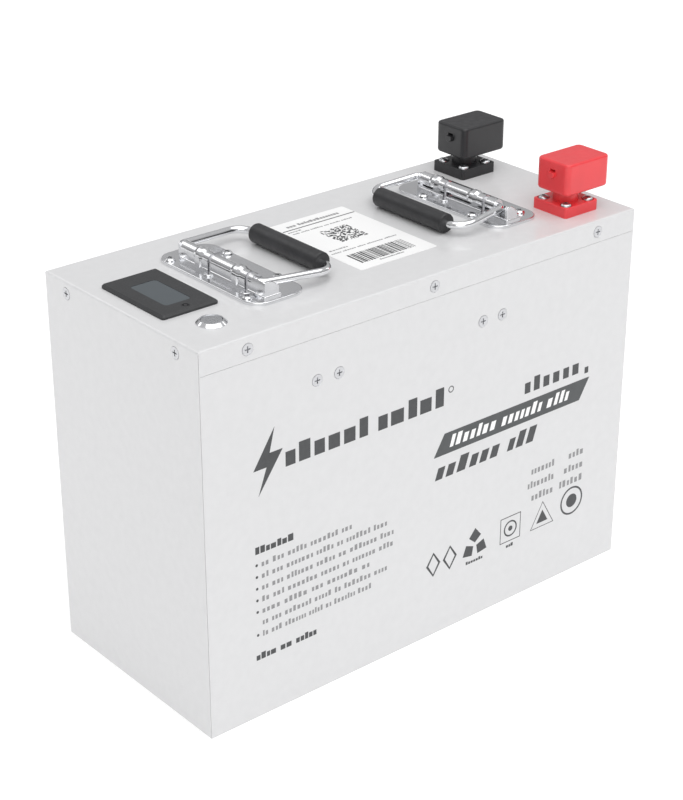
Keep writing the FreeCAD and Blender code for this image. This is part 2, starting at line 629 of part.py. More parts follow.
    def make_bail(self):
        reach, drop = value(self.reach), value("axis_rise - grip_rise")
        tilt = math.degrees(math.asin(drop / reach))
        path = self.bail_wire()
        start = path.Edges[0].Vertexes[0].Point
        ring = Part.Wire(Part.makeCircle(value("rod_radius"), start, Vector(0, 1, 0)))
        bail = doc.addObject("Part::Feature", f"{self.tag}_bail")
        bail.Shape = path.makePipeShell([ring], True, False)
        flip = Rotation() if self.fold > 0 else Rotation(Vector(0, 0, 1), 180)
        bail.Placement = FreeCAD.Placement(Vector(), flip * Rotation(Vector(0, 1, 0), tilt))
        keep(f"{self.tag}_bail", place(bail, self.axis, "0", "case_height + axis_rise"))

    def make_grip(self):
        body = new_body(f"{self.tag}_grip")
        half = "grip_length / 2"
        sketch = sketch_on(body, "XZ_Plane")
        bore = "rod_radius + 0.02"
        outline(sketch, [(bore, f"-{half}"), ("grip_radius - 1.2", f"-{half}"),
                         ("grip_radius - 0.35", f"-{half} + 0.35"), ("grip_radius", f"-{half} + 1.2"),
                         ("grip_radius", f"{half} - 1.2"), ("grip_radius - 0.35", f"{half} - 0.35"),
                         ("grip_radius - 1.2", half), (bore, half)])
        revolve(body, sketch)
        body.Placement = FreeCAD.Placement(Vector(), TURNS["y"])
        drop = value("axis_rise - grip_rise")
        flat = math.sqrt(value(self.reach) ** 2 - drop ** 2)
        keep(f"{self.tag}_grip", place(body, self.x(f"{flat:.4f}"), "0", "case_height + grip_rise"))

    def make_springs(self):
        """Torsion springs: close-wound coils round the rod, each with a leg down its slot."""
        springs = []
        axis_z, mean = "case_height + axis_rise", "(spring_inner + wire_radius)"
        for k, slot in enumerate(self.slots):
            name = f"{self.tag}_spring_{k}"
            far = f"{slot} + bulge_offset + bulge_length / 2 - 0.8"
            coil = rod(name + "_coil", "y", (f"{slot} + 1.2", far), "spring_inner + 1.9 * wire_radius",
                       x=self.axis, z=axis_z)
            hole = rod(name + "_inside", "y", (f"{slot}", f"{far} + 1"), "spring_inner + 0.1 * wire_radius",
                       x=self.axis, z=axis_z)
            turns = [cut(name + "_wound", coil, [hole])]
            for i in range(3):
                ring = doc.addObject("Part::Torus", f"{name}_turn_{i}")
                ring.Placement = FreeCAD.Placement(Vector(), TURNS["y"])
                bind(ring, Radius1=mean, Radius2="wire_radius")
                turns.append(place(ring, self.axis, f"{slot} - 0.7 + {i} * 0.92", axis_z))
            foot_z = "case_height + plate_gauge + 1.35"
            leg = rod(name + "_leg", "z", (foot_z, f"{axis_z} + 0.6"), "leg_radius",
                      x=f"{self.axis} - {mean} - 0.35", y=slot)
            foot = cone(name + "_foot", "z", "1.45", "leg_radius", (foot_z, f"{foot_z} + 0.8"),
                        x=f"{self.axis} - {mean} - 0.35", y=slot)
            coil = fuse(name, [*turns, leg, foot])
            springs.append(coil)
        keep(f"{self.tag}_springs", group(f"{self.tag}_springs", springs))

    def make_screws(self, screw):
        spots = [(x, y, "case_height + plate_gauge", UP) for x, y in self.screw_spots()]
        keep(f"{self.tag}_hinge_screws", copies(f"{self.tag}_hinge_screws", screw, spots))

    def make(self, screw):
        self.make_hinge()
        self.make_bail()
        self.make_grip()
        self.make_springs()
        self.make_screws(screw)


def bent_wire(corners, radii):
    """Straight runs joined by tangent arcs; the first and last radii are unused."""
    edges, last = [], corners[0]
    for before, corner, after, radius in zip(corners, corners[1:], corners[2:], radii[1:]):
        inward, outward = (before - corner).normalize(), (after - corner).normalize()
        half_angle = inward.getAngle(outward) / 2
        back = radius / math.tan(half_angle)
        enter, leave = corner + inward * back, corner + outward * back
        middle = (inward + outward).normalize()
        mid = corner + middle * (radius / math.sin(half_angle) - radius)
        edges += [Part.LineSegment(last, enter).toShape(), Part.Arc(enter, mid, leave).toShape()]
        last = leave
    edges.append(Part.LineSegment(last, corners[-1]).toShape())
    return Part.Wire(edges)


# The plates are alike; the pivots stand at different distances from their edges.
HANDLES = [
    Handle("left", 1, "left_axis_x", ("-13", "28.9"), "53.8", "47.2", ("-9.3", "39.5"), ("24.7", "25.5"),
           ("5", "-32.2"), "13.2", "11"),
    Handle("right", -1, "right_axis_x", ("-26.6", "14.4"), "42.2", "46.4", ("-17.6", "39.8"), ("10.8", "24"),
           ("9.6", "-27.6"), "9.4", "8.2"),
]


# ---------------------------------------------------------------- meter and push button

def meter_x(offset):
    return f"meter_x + ({offset})"


def make_meter():
    half_x, half_y = "meter_width / 2", "meter_length / 2"
    top = "case_height + meter_rise"
    flange = box("meter_flange", (meter_x(f"-{half_x}"), meter_x(half_x)),
                 (f"meter_y - {half_y}", f"meter_y + {half_y}"), ("case_height", top))
    flange = rounded("meter_corners", flange, "2.2", upright)
    flange = rounded("meter_edges", flange, "meter_bevel", at_height("case_height + meter_rise"),
                     "Part::Chamfer")
    body_x, body_y = "meter_body_width / 2", "meter_body_length / 2"
    tray = box("meter_tray", (meter_x(f"-{body_x}"), meter_x(body_x)),
               (f"meter_y - {body_y}", f"meter_y + {body_y}"), ("case_height - meter_depth", "case_height"))
    hollow = box("meter_hollow", (meter_x(f"-{body_x} + meter_wall"), meter_x(f"{body_x} - meter_wall")),
                 (f"meter_y - {body_y} + meter_wall", f"meter_y + {body_y} - meter_wall"),
                 ("case_height - meter_depth - 1", "case_height + 0.9"))
    glass_x, glass_y = "glass_width / 2", "glass_length / 2"
    window = box("meter_window_cut", (f"meter_x - 0.4 - {glass_x}", f"meter_x - 0.4 + {glass_x}"),
                 (f"glass_y - {glass_y} - 2", f"glass_y + {glass_y} - 2"), ("case_height", f"{top} + 1"))
    window = rounded("meter_window_round", window, "2.6", upright)
    key_hole = rod("key_opening", "z", ("case_height - 2", f"{top} + 1"), "key_radius + key_gap",
                   x="meter_x", y="key_y")
    keep("meter_bezel", cut("meter_bezel", fuse("meter_blank", [flange, tray]), [hollow, window, key_hole]))

    pane = box("meter_pane", (f"meter_x - 0.4 - {glass_x} + 0.1", f"meter_x - 0.4 + {glass_x} - 0.1"),
               (f"glass_y - {glass_y} - 1.9", f"glass_y + {glass_y} - 2.1"),
               ("case_height + 0.9", f"{top} - glass_sink"))
    keep("meter_window", rounded("meter_window", pane, "2.5", upright))
    keep("meter_display",
         box("meter_display", (f"meter_x - 0.4 - {glass_x} - 2", f"meter_x - 0.4 + {glass_x} + 2"),
             (f"glass_y - {glass_y} - 4", f"glass_y + {glass_y}"), ("case_height - 1.5", "case_height + 0.9")))
    board = box("board_sheet",
                (meter_x(f"-{body_x} + meter_wall + 0.3"), meter_x(f"{body_x} - meter_wall - 0.3")),
                (f"meter_y - {body_y} + meter_wall + 0.3", f"meter_y + {body_y} - meter_wall - 0.3"),
                ("case_height - 6.4", "case_height - 4.8"))
    switch = box("board_switch", ("meter_x - 3", "meter_x + 3"), ("key_y - 2.6", "key_y + 2.6"),
                 ("case_height - 4.8", "case_height - 1.9"))
    plug = box("board_plug", ("meter_x - 5", "meter_x + 5"), ("meter_y + 20", "meter_y + 26"),
               ("case_height - 11", "case_height - 6.4"))
    chip = box("board_chip", ("meter_x - 4", "meter_x + 4"), ("meter_y - 4", "meter_y + 4"),
               ("case_height - 4.8", "case_height - 3.6"))
    keep("meter_board", fuse("meter_board", [board, switch, plug, chip]))
    key = turned("meter_key", [("0", "-0.9"), ("key_radius + 0.5", "-0.9"), ("key_radius + 0.5", "-0.2"),
                               ("key_radius", "-0.2"), ("key_radius", "meter_rise - 0.1"),
                               ("key_radius - 0.3", "meter_rise + 0.1"), ("0", "meter_rise + 0.1")])
    keep("meter_key", place(key, "meter_x", "key_y", "case_height"))


def make_button():
    """Flanged housing, sprung plunger, ring nut and switch body."""
    rise, thread = "button_rise", "button_thread"
    well = "button_face + button_gap"
    housing = turned("button_housing", [
        (well, rise), ("button_face + 0.75", rise), ("button_flange - 0.25", "0.65"),
        ("button_flange", "0.4"), ("button_flange", "0"), (thread, "0"), (thread, "-button_depth"),
        ("5.2", "-button_depth"), ("5.2", "-5"), (well, "-5")])
    keep("button_housing", place(housing, "button_x", "button_y", "case_height"))
    plunger = turned("button_plunger", [
        ("0", f"{rise} - 0.25"), ("button_face - 0.5", f"{rise} - 0.25"), ("button_face", f"{rise} - 0.7"),
        ("button_face", "-3"), ("3", "-3"), ("3", "-9"), ("0", "-9")])
    keep("button_plunger", place(plunger, "button_x", "button_y", "case_height"))
    nut = hexagon_nut("button_nut", "11.5", "4", f"{thread} + 0.05")
    keep("button_nut", place(nut, "button_x", "button_y", "case_height - gauge - 4"))
    switch = turned("button_switch", [
        ("0", "-12"), ("5.1", "-12"), ("5.1", "-button_depth"), ("7", "-button_depth"),
        ("7", "-button_depth - 7"), ("0", "-button_depth - 7")])
    keep("button_switch", place(switch, "button_x", "button_y", "case_height"))


# ---------------------------------------------------------------- terminals

def flange_screw_spots(side):
    half = "flange_screw_pitch / 2"
    return [(f"terminal_x + {i} * {half}", f"{side} * terminal_y + {j} * {half}")
            for i in (-1, 1) for j in (-1, 1)]


def make_terminal(tag, side, screw, nut):
    y, base = f"{side} * terminal_y", "case_height"
    half = "flange_side / 2"
    flange = box(f"{tag}_flange", (f"terminal_x - {half}", f"terminal_x + {half}"),
                 (f"{y} - {half}", f"{y} + {half}"), (base, f"{base} + flange_rise"))
    flange = rounded(f"{tag}_flange_round", flange, "2", upright)
    flange = rounded(f"{tag}_flange_soft", flange, "0.6", at_height("case_height + flange_rise"))
    neck = rod(f"{tag}_neck", "z", (base, f"{base} + neck_rise + 1"), "neck_radius", x="terminal_x", y=y)
    long_x = ("terminal_x - cover_back", "terminal_x + cover_front")
    inset = "(cover_wall + plug_gap)"
    plug = box(f"{tag}_plug", (f"{long_x[0]} + {inset}", f"{long_x[1]} - {inset}"),
               (f"{y} - cover_half_width + {inset}", f"{y} + cover_half_width - {inset}"),
               (f"{base} + neck_rise", f"{base} + plug_rise"))
    plug = rounded(f"{tag}_plug_round", plug, "1.2", upright)
    cutters = [rod(f"{tag}_stud_hole", "z", (f"{base} - 1", f"{base} + 20"), "inner_stud_radius",
                   x="terminal_x", y=y)]
    for k, (sx, sy) in enumerate(flange_screw_spots(side)):
        cutters.append(rod(f"{tag}_screw_hole_{k}", "z", (f"{base} - 1", f"{base} + 8"),
                           "small_shank + screw_clear", x=sx, y=sy))
        cutters.append(rod(f"{tag}_screw_seat_{k}", "z", (f"{base} + flange_rise - 0.6", f"{base} + 8"),
                           "small_head + 0.6", x=sx, y=sy))
    keep(f"{tag}_base", cut(f"{tag}_base", fuse(f"{tag}_base_blank", [flange, neck, plug]), cutters))

    inner = "inner_stud_radius"
    stud = turned(f"{tag}_stud", [
        ("0", "stud_top"), ("stud_radius - 0.7", "stud_top"), ("stud_radius", "stud_top - 0.7"),
        ("stud_radius", "plug_rise + collar_rise"), ("collar_radius", "plug_rise + collar_rise"),
        ("collar_radius", "plug_rise"), (inner, "plug_rise"), (inner, "-stud_bottom"),
        ("0", "-stud_bottom")])
    keep(f"{tag}_stud", place(stud, "terminal_x", y, base))
    keep(f"{tag}_nut", copies(f"{tag}_nut", nut, [("terminal_x", y, f"{base} - gauge - 8", UP)]))
    keep(f"{tag}_base_screws", copies(f"{tag}_base_screws", screw,
         [(sx, sy, f"{base} + flange_rise - 0.6", UP) for sx, sy in flange_screw_spots(side)]))
    make_cover(tag, y, long_x)


def make_cover(tag, y, long_x):
    """Lift-off cap, open below and resting on the plug, with a stub and a probe slot on its -X side."""
    base = "case_height"
    skin = box(f"{tag}_cover_block", long_x, (f"{y} - cover_half_width", f"{y} + cover_half_width"),
               (f"{base} + neck_rise", f"{base} + cover_top"))
    skin = rounded(f"{tag}_cover_corners", skin, "cover_round", upright)
    skin = rounded(f"{tag}_cover_soft", skin, "cover_top_round", at_height("case_height + cover_top"))
    skin = rounded(f"{tag}_cover_foot", skin, "cover_foot_round", at_height("case_height + neck_rise"))
    port_z, port_y = f"{base} + port_rise", f"{y} - 0.6"
    port = rod(f"{tag}_port", "x", (f"{long_x[0]} - port_length", f"{long_x[0]} + 1"), "port_radius",
               y=port_y, z=port_z)
    port = rounded(f"{tag}_port_soft", port, "0.5", lambda edge: edge.Closed
                   and edge.BoundBox.XMax < value(f"{long_x[0]} - port_length") + 1e-4)
    hollows = []
    for name, inset, levels in (("mouth", "cover_wall", ("neck_rise - 1", "plug_rise")),
                                ("hollow", "(cover_wall + 1)",
                                 ("plug_rise - 0.5", "cover_top - cover_wall"))):
        hollows.append(box(f"{tag}_cover_{name}", (f"{long_x[0]} + {inset}", f"{long_x[1]} - {inset}"),
                           (f"{y} - cover_half_width + {inset}", f"{y} + cover_half_width - {inset}"),
                           (f"{base} + {levels[0]}", f"{base} + {levels[1]}")))
    slot = box(f"{tag}_port_slot", (f"{long_x[0]} - port_length - 1", f"{long_x[0]} + 3"),
               (f"{port_y} - port_slot_width / 2", f"{port_y} + port_slot_width / 2"),
               (f"{port_z} + 1.5", f"{port_z} + 1.5 + port_slot_rise"))
    keep(f"{tag}_cover", cut(f"{tag}_cover", fuse(f"{tag}_cover_blank", [skin, port]), [*hollows, slot]))


# ---------------------------------------------------------------- cell pack

CELL_BOTTOM = "(gauge + pad_thick)"
CELL_TOP = f"({CELL_BOTTOM} + cell_height)"
BUSBAR_LOW = f"({CELL_TOP} + post_rise)"
STUD_TOP = f"({CELL_TOP} + post_stud_rise)"
SHEET_TOP = f"({STUD_TOP} + cover_sheet_gauge)"
CELLS = 8


def cell_x(index):
    """Centre of cell number index, counted from 0 at the -X end."""
    return f"({index} - {(CELLS - 1) / 2}) * cell_pitch"


def make_cells():
    for index in range(CELLS):
        name, x = f"cell_{index + 1}", cell_x(index)
        can = box(f"{name}_can", (f"{x} - cell_thick / 2", f"{x} + cell_thick / 2"),
                  ("-cell_width / 2", "cell_width / 2"), (CELL_BOTTOM, CELL_TOP))
        can = rounded(f"{name}_can_soft", can, "2.5", upright)
        posts = [can]
        for side in (-1, 1):
            y = f"{side} * post_y"
            posts.append(rod(f"{name}_post_{side + 1}", "z", (CELL_TOP, BUSBAR_LOW), "post_radius", x=x,
                             y=y))
            posts.append(rod(f"{name}_stud_{side + 1}", "z", (CELL_TOP, STUD_TOP), "post_stud", x=x, y=y))
        posts.append(rod(f"{name}_vent", "z", (CELL_TOP, f"{CELL_TOP} + 0.8"), "5", x=x))
        keep(name, fuse(name, posts))


def make_pack():
    """Sheets between the cells, end plates, straps, pad below and clear sheet above."""
    half_pack = f"({CELLS} * cell_pitch / 2)"
    gaps = [box(f"spacer_{k}", (f"{cell_x(k)} + cell_thick / 2", f"{cell_x(k + 1)} - cell_thick / 2"),
                ("-cell_width / 2 + 3", "cell_width / 2 - 3"), (f"{CELL_BOTTOM} + 4", f"{CELL_TOP} - 4"))
            for k in range(CELLS - 1)]
    keep("cell_spacers", group("cell_spacers", gaps))
    plates = []
    for side, tag in ((-1, "left"), (1, "right")):
        near = f"{half_pack} + end_plate_gauge"
        span = (f"-({near})", f"-{half_pack}") if side < 0 else (half_pack, near)
        plates.append(box(f"{tag}_end_plate", span, ("-cell_width / 2", "cell_width / 2"),
                          (CELL_BOTTOM, f"{CELL_TOP} - 6")))
    keep("end_plates", group("end_plates", plates))
    straps = []
    for index, level in enumerate((52, 148)):
        outer_x, outer_y = f"({half_pack} + end_plate_gauge + strap_gauge)", "(cell_width / 2 + strap_gauge)"
        band = (f"{level}", f"{level} + strap_width")
        outer = box(f"strap_{index}_outer", (f"-{outer_x}", outer_x), (f"-{outer_y}", outer_y), band)
        inner = box(f"strap_{index}_inner", (f"-{outer_x} + strap_gauge", f"{outer_x} - strap_gauge"),
                    (f"-{outer_y} + strap_gauge", f"{outer_y} - strap_gauge"),
                    (f"{level} - 1", f"{level} + strap_width + 1"))
        straps.append(cut(f"strap_{index}", outer, [inner]))
    keep("straps", group("straps", straps))
    keep("pack_pad", box("pack_pad", (f"-{half_pack} - 3", f"{half_pack} + 3"),
                         ("-cell_width / 2 - 2", "cell_width / 2 + 2"), ("gauge", CELL_BOTTOM)))
    blank = box("cover_sheet_blank", ("-143", "143"), ("-66", "66"), (STUD_TOP, SHEET_TOP))
    notches = [box("sheet_notch_left", ("-144", "-102"), ("-67", "-28"),
                   (f"{STUD_TOP} - 1", f"{SHEET_TOP} + 1")),
               box("sheet_notch_right", ("118", "144"), ("-67", "-28"),
                   (f"{STUD_TOP} - 1", f"{SHEET_TOP} + 1"))]
    keep("cover_sheet", cut("cover_sheet", blank, notches))


def make_busbars(nut):
    """Four pairs in series: each bar joins the posts of the cells it spans."""
    runs = ((-1, 0, 1), (1, 0, 3), (-1, 2, 5), (1, 4, 7), (-1, 6, 7))
    bars, spots = [], []
    for index, (side, first, last) in enumerate(runs):
        y = f"{side} * post_y"
        bar = box(f"busbar_{index}_blank", (f"{cell_x(first)} - 11", f"{cell_x(last)} + 11"),
                  (f"{y} - busbar_width / 2", f"{y} + busbar_width / 2"),
                  (BUSBAR_LOW, f"{BUSBAR_LOW} + busbar_gauge"))
        holes = [rod(f"busbar_{index}_hole_{k}", "z", (f"{BUSBAR_LOW} - 1", f"{BUSBAR_LOW} + 4"),
                     "post_stud + 0.1", x=cell_x(k), y=y) for k in range(first, last + 1)]
        bars.append(cut(f"busbar_{index}", bar, holes))
        spots += [(cell_x(k), y, f"{BUSBAR_LOW} + busbar_gauge", UP) for k in range(first, last + 1)]
    keep("busbars", group("busbars", bars))
    keep("busbar_nuts", copies("busbar_nuts", nut, spots))


# ---------------------------------------------------------------- management board and cables

BOARD_LOW, BOARD_TOP = "(bar_top + 6)", "(bar_top + 7.6)"


def make_management_board():
    sheet_part = box("bms_sheet", ("-98", "64"), ("-50", "50"), (BOARD_LOW, BOARD_TOP))
    bits = [sheet_part]
    for side, x in (("input", "-91"), ("output", "57")):
        bits.append(box(f"bms_{side}_pad", (f"{x} - 6", f"{x} + 6"), ("-36", "36"),
                        (BOARD_TOP, f"{BOARD_TOP} + 3")))
    for k in range(6):
        bits.append(box(f"bms_part_{k}", (f"-40 + {k} * 14", f"-31 + {k} * 14"), ("-48", "-42"),
                        (BOARD_TOP, f"{BOARD_TOP} + 5")))
    bits.append(box("bms_socket", ("-30", "12"), ("42", "49"), (BOARD_TOP, f"{BOARD_TOP} + 8")))
    posts = [rod(f"bms_post_hole_{i}_{j + 1}", "z", (f"{BOARD_LOW} - 1", f"{BOARD_TOP} + 1"), "1.7", x=x,
                 y=f"{j} * 42") for i, x in enumerate(("bar_left_x", "bar_right_x")) for j in (-1, 1)]
    keep("bms_board", cut("bms_board", fuse("bms_blank", bits), posts))
    posts = []
    for i, x in enumerate(("bar_left_x", "bar_right_x")):
        for j in (-1, 1):
            y = f"{j} * 42"
            tall = rod(f"standoff_{i}_{j + 1}", "z", ("bar_top", BOARD_LOW), "3", x=x, y=y)
            screw = rod(f"standoff_pin_{i}_{j + 1}", "z", ("bar_top - 3", f"{BOARD_TOP} + 0.1"), "1.5", x=x,
                        y=y)
            head = rod(f"standoff_head_{i}_{j + 1}", "z", (BOARD_TOP, f"{BOARD_TOP} + 2"), "2.8", x=x, y=y)
            posts.append(fuse(f"standoff_solid_{i}_{j + 1}", [tall, screw, head]))
    keep("bms_standoffs", group("bms_standoffs", posts))
    plate = box("sink_plate", ("-78", "42"), ("-36", "36"), (BOARD_TOP, f"{BOARD_TOP} + 3"))
    fins = [box(f"sink_fin_{k}", ("-78", "42"), (f"-36 + {k} * 6.9", f"-33.1 + {k} * 6.9"),
                (BOARD_TOP, f"{BOARD_TOP} + 13")) for k in range(11)]
    keep("bms_heatsink", fuse("bms_heatsink", [plate, *fins]))


def tube(node, corners, radius):
    """A cable along straight runs and tangent arcs, each as large as its runs allow."""
    radii = [0]
    for before, corner, after in zip(corners, corners[1:], corners[2:]):
        shorter = min((corner - before).Length, (after - corner).Length)
        turn = math.pi - (before - corner).getAngle(after - corner)
        radii.append(0.45 * shorter / math.tan(turn / 2))
    print(node, "bend radii", [round(r, 1) for r in radii[1:]])
    path = bent_wire(corners, radii + [0])
    direction = path.Edges[0].tangentAt(path.Edges[0].FirstParameter)
    ring = Part.Wire(Part.makeCircle(radius, corners[0], direction))
    return path.makePipeShell([ring], True, False)


def make_cables():
    """Copper strip up to the positive stud; leads from the pack to the board and on to the other stud."""
    pad_top = value(BOARD_TOP) + 3
    lug_low = "case_height - 12"
    lug = (lug_low, f"{lug_low} + 2.5")
    foot = box("link_foot", (f"{cell_x(7)} + 11", "154"), ("-53", "-33"),
               (BUSBAR_LOW, f"{BUSBAR_LOW} + 2.5"))
    riser = box("link_riser", ("151.5", "154"), ("-57", "-33"), (BUSBAR_LOW, lug[1]))
    head = box("link_head", ("terminal_x - 8.5", "154"), ("-terminal_y - 7", "-terminal_y + 7"), lug)
    eye = rod("link_eye", "z", (f"{lug_low} - 1", f"{lug_low} + 4"), "inner_stud_radius", x="terminal_x",
              y="-terminal_y")
    keep("positive_link", cut("positive_link", fuse("positive_link_blank", [foot, riser, head]), [eye]))

    first, top = cell_x(0), f"{BUSBAR_LOW} + busbar_gauge"
    post = box("bms_cable_post", (f"{first} - 11", f"{first} - 6.4"), ("-49", "-37"), (top, f"{top} + 14"))
    shelf = box("bms_cable_shelf", (f"{first} - 11", f"{first} + 1"), ("-49", "-37"),
                (f"{top} + 9", f"{top} + 14"))
    x, z = value(first), value(top)
    lead = doc.addObject("Part::Feature", "bms_cable_tube")
    lead.Shape = tube("bms_cable", [
        Vector(x - 5, -43, z + 13), Vector(x - 4, -43, z + 26), Vector(x + 12, -40, z + 34),
        Vector(x + 30, -34, pad_top + 4.5), Vector(-86, -30, pad_top + 4.5)], value("cable_radius"))
    keep("bms_cable", fuse("bms_cable", [lead, post, shelf]))

    x, y, z = value("terminal_x"), value("terminal_y"), value(lug_low)
    out = doc.addObject("Part::Feature", "negative_cable_tube")
    out.Shape = tube("negative_cable", [
        Vector(53, 20, pad_top + 4.5), Vector(80, 22, pad_top + 4.5), Vector(104, y, z - 1),
        Vector(x - 18, y, z - 1)], value("cable_radius"))
    barrel = rod("negative_barrel", "x", ("terminal_x - 23", "terminal_x - 12"), "cable_radius + 0.5",
                 y="terminal_y", z=f"{lug_low} - 1")
    tongue = box("negative_tongue", ("terminal_x - 14", "terminal_x + 8.5"),
                 ("terminal_y - 8", "terminal_y + 8"), lug)
    eye = rod("negative_eye", "z", (f"{lug_low} - 1", f"{lug_low} + 4"), "inner_stud_radius",
              x="terminal_x", y="terminal_y")
    keep("negative_cable", cut("negative_cable", fuse("negative_cable_blank", [out, barrel, tongue]), [eye]))


# ---------------------------------------------------------------- label, build, checks and export

def make_label():
    keep("rating_label", rounded("rating_label", box("label_blank", ("-31", "33"), ("-46", "49"), (
        "case_height", "case_height + 0.15")), "1.5", upright))


def build():
    countersunk = countersunk_screw()
    pan = domed_screw("pan_screw", "pan_head", "pan_rise", "pan_shank", "pan_length")
    small = domed_screw("small_screw", "small_head", "small_rise", "small_shank", "small_length",
                        "socket_radius")
    terminal_nut = hexagon_nut("terminal_nut", "7.5", "6.5", "inner_stud_radius")
    cell_nut = hexagon_nut("cell_nut", "5.77", "nut_height", "post_stud")
    make_case()
    make_panel("front_panel", -1)
    make_panel("back_panel", 1)
    make_lid()
    make_case_screws(countersunk)
    make_hold_down()
    for handle in HANDLES:
        handle.make(pan)
    make_meter()
    make_button()
    make_terminal("positive", -1, small, terminal_nut)
    make_terminal("negative", 1, small, terminal_nut)
    make_label()
    make_cells()
    make_pack()
    make_busbars(cell_nut)
    make_management_board()
    make_cables()
    doc.recompute()


def check_and_export():
    for obj in doc.Objects:
        if {"Invalid", "Error"} & set(obj.State):
            raise RuntimeError(f"{obj.Label} failed: {obj.State}")
    for node, obj in PARTS.items():
        shape = obj.Shape
        if shape.isNull() or not shape.isValid() or not shape.Solids:
            raise RuntimeError(f"{node} has no valid solid")
    os.makedirs("parts", exist_ok=True)
    for node, obj in PARTS.items():
        obj.Shape.exportStep(f"parts/{node}.step")
    print(len(PARTS), "sub-parts written")


build()
check_and_export()
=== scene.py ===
"""Looks for the deep cycle battery: a finish for every node, plain printed marks, studio and camera."""

import json
import math
import random

import bmesh
import bpy
from mathutils import Matrix, Vector


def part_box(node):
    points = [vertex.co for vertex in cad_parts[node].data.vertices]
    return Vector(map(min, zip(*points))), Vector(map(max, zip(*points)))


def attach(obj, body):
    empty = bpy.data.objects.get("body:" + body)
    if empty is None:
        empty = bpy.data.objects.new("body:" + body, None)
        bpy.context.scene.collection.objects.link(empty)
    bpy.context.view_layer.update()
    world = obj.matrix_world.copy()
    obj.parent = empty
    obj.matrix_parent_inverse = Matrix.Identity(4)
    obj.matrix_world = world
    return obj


MM = 0.001
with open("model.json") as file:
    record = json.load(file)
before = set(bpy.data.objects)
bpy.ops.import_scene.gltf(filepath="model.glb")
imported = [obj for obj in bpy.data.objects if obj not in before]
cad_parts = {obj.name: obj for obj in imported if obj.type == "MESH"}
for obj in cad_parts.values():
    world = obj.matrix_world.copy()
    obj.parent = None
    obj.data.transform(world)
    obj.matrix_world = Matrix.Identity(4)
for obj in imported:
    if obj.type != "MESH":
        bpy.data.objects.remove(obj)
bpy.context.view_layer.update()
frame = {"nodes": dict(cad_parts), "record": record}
nodes = frame["nodes"]
FRONT_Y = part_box("front_panel")[0][1]
LABEL_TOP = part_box("rating_label")[1][2]
KEY_LOW, KEY_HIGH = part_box("meter_key")
FILM_GAP = 0.005                # mm between a printed film and what it lies on
FILM = 0.03                     # mm, thickness of the print on the case
LABEL_FILM = 0.02               # mm, thickness of the print on the label and on the key


# ---------------------------------------------------------------- procedural finishes

def finish(name, color, rough, metal=0.0, tint=0.05, tint_scale=25, rough_vary=0.06, rough_scale=60,
           grain=400, grain_depth=0.00002, detail=3.0, stretch=(1, 1, 1), coat=0.0, **inputs):
    """A Principled finish whose colour, gloss and relief each follow their own noise."""
    mat = bpy.data.materials.new(name)
    mat.use_nodes = True
    tree = mat.node_tree
    add, join = tree.nodes.new, tree.links.new
    shader = tree.nodes["Principled BSDF"]
    place = add("ShaderNodeTexCoord")
    spread = add("ShaderNodeMapping")
    spread.inputs["Scale"].default_value = stretch
    join(place.outputs["Object"], spread.inputs["Vector"])

    def noise(scale, depth):
        tex = add("ShaderNodeTexNoise")
        tex.inputs["Scale"].default_value = scale
        tex.inputs["Detail"].default_value = depth
        join(spread.outputs["Vector"], tex.inputs["Vector"])
        return tex.outputs["Fac"]

    ramp = add("ShaderNodeValToRGB")
    ramp.color_ramp.elements[0].position, ramp.color_ramp.elements[1].position = 0.3, 0.7
    ramp.color_ramp.elements[0].color = [c * (1 - tint) for c in color] + [1]
    ramp.color_ramp.elements[1].color = [min(1, c * (1 + tint)) for c in color] + [1]
    join(noise(tint_scale, 4), ramp.inputs["Fac"])
    join(ramp.outputs["Color"], shader.inputs["Base Color"])
    gloss = add("ShaderNodeMapRange")
    gloss.inputs["From Min"].default_value, gloss.inputs["From Max"].default_value = 0.3, 0.7
    gloss.inputs["To Min"].default_value = max(0.02, rough - rough_vary)
    gloss.inputs["To Max"].default_value = rough + rough_vary
    join(noise(rough_scale, 5), gloss.inputs["Value"])
    join(gloss.outputs["Result"], shader.inputs["Roughness"])
    bump = add("ShaderNodeBump")
    bump.inputs["Distance"].default_value = grain_depth
    join(noise(grain, detail), bump.inputs["Height"])
    join(bump.outputs["Normal"], shader.inputs["Normal"])
    shader.inputs["Metallic"].default_value = metal
    shader.inputs["Coat Weight"].default_value = coat
    for key, number in inputs.items():
        shader.inputs[key.replace("_", " ")].default_value = number
    return mat


POWDER = finish("powder_coat", (0.70, 0.70, 0.706), 0.34, tint=0.016, tint_scale=160, rough_vary=0.06,
                rough_scale=140, grain=420, grain_depth=0.000042, detail=2.5, coat=0.5, Coat_Roughness=0.1)
CHROME = finish("chrome_plate", (0.86, 0.865, 0.88), 0.12, metal=1, tint=0.03, tint_scale=90,
                rough_vary=0.05, rough_scale=160, grain=140, grain_depth=0.000018, detail=2)
PRESSED = finish("pressed_plate", (0.80, 0.805, 0.82), 0.2, metal=1, tint=0.04, tint_scale=60,
                 rough_vary=0.07, rough_scale=120, grain=200, grain_depth=0.00001, detail=3,
                 stretch=(1, 0.25, 1))
ZINC = finish("bright_zinc", (0.6, 0.605, 0.62), 0.3, metal=1, tint=0.06, tint_scale=300, rough_scale=500,
              grain=1500, grain_depth=0.000012)
SATIN = finish("satin_steel", (0.66, 0.67, 0.69), 0.33, metal=1, tint=0.05, tint_scale=200, rough_scale=700,
               grain=1800, grain_depth=0.00001, stretch=(1, 0.2, 1))
SPRING = finish("spring_wire", (0.55, 0.55, 0.57), 0.3, metal=1, tint=0.1, tint_scale=400, rough_scale=500,
                grain=1200, grain_depth=0.00003)
RUBBER = finish("grip_rubber", (0.026, 0.026, 0.028), 0.42, tint=0.14, tint_scale=70, rough_vary=0.09,
                rough_scale=260, grain=1500, grain_depth=0.00003)
